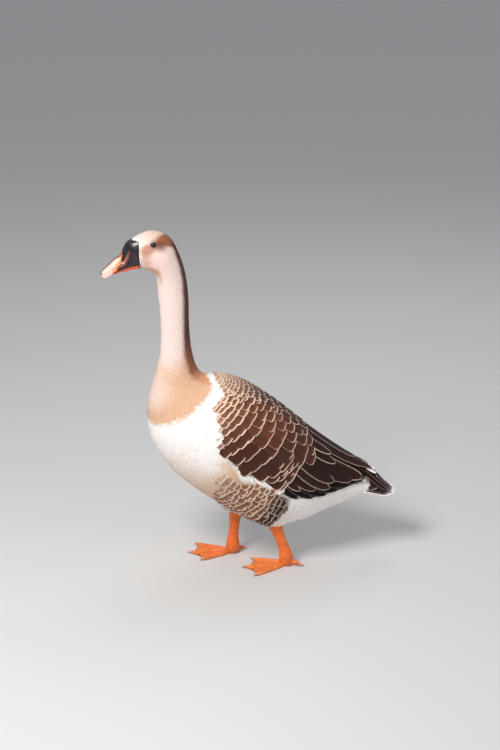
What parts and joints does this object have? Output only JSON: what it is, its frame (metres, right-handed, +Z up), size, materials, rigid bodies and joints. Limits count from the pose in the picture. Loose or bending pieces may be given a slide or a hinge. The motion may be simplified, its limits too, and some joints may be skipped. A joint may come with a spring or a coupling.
{
  "type": "domestic goose",
  "caption": "Life-size still model of a standing pied domestic goose with upright neck, folded wings and webbed feet flat on the floor.",
  "frame": {"origin": "on the floor, under the middle of the goose's box", "axes": "+Z up, -Y towards the bill, +X towards the goose's left side"},
  "size_m": [0.2256, 0.5806, 0.6736],
  "materials": {
    "cream_feathers": "short cream feathers of the face and neck",
    "buff_feathers": "buff feathers of the lower neck, flank and thigh",
    "white_feathers": "white breast, belly and undertail feathers",
    "brown_feathers": "dark brown back, wing and tail feathers with pale edges",
    "bill_horn": "black and orange bill, satin",
    "bill_nail": "pale pink horn",
    "bill_lower": "orange-red lower bill",
    "eye": "wet dark brown eye",
    "leg_skin": "scaly orange skin of the legs and webs",
    "claw_horn": "pale brown horn"
  },
  "bodies": {
    "root": {"head": "cream_feathers", "neck_upper": "cream_feathers", "neck_lower": "buff_feathers", "trunk": "white_feathers", "rump": "white_feathers", "tail": "brown_feathers", "wing_left": "brown_feathers", "wing_right": "brown_feathers", "thigh_left": "buff_feathers", "thigh_right": "buff_feathers", "bill_upper": "bill_horn", "bill_nail": "bill_nail", "bill_lower": "bill_lower", "eye_left": "eye", "eye_right": "eye", "shank_left": "leg_skin", "shank_right": "leg_skin", "foot_left": "leg_skin", "foot_right": "leg_skin", "claw_left_inner": "claw_horn", "claw_left_middle": "claw_horn", "claw_left_outer": "claw_horn", "claw_left_hind": "claw_horn", "claw_right_inner": "claw_horn", "claw_right_middle": "claw_horn", "claw_right_outer": "claw_horn", "claw_right_hind": "claw_horn"}
  },
  "joints": []
}
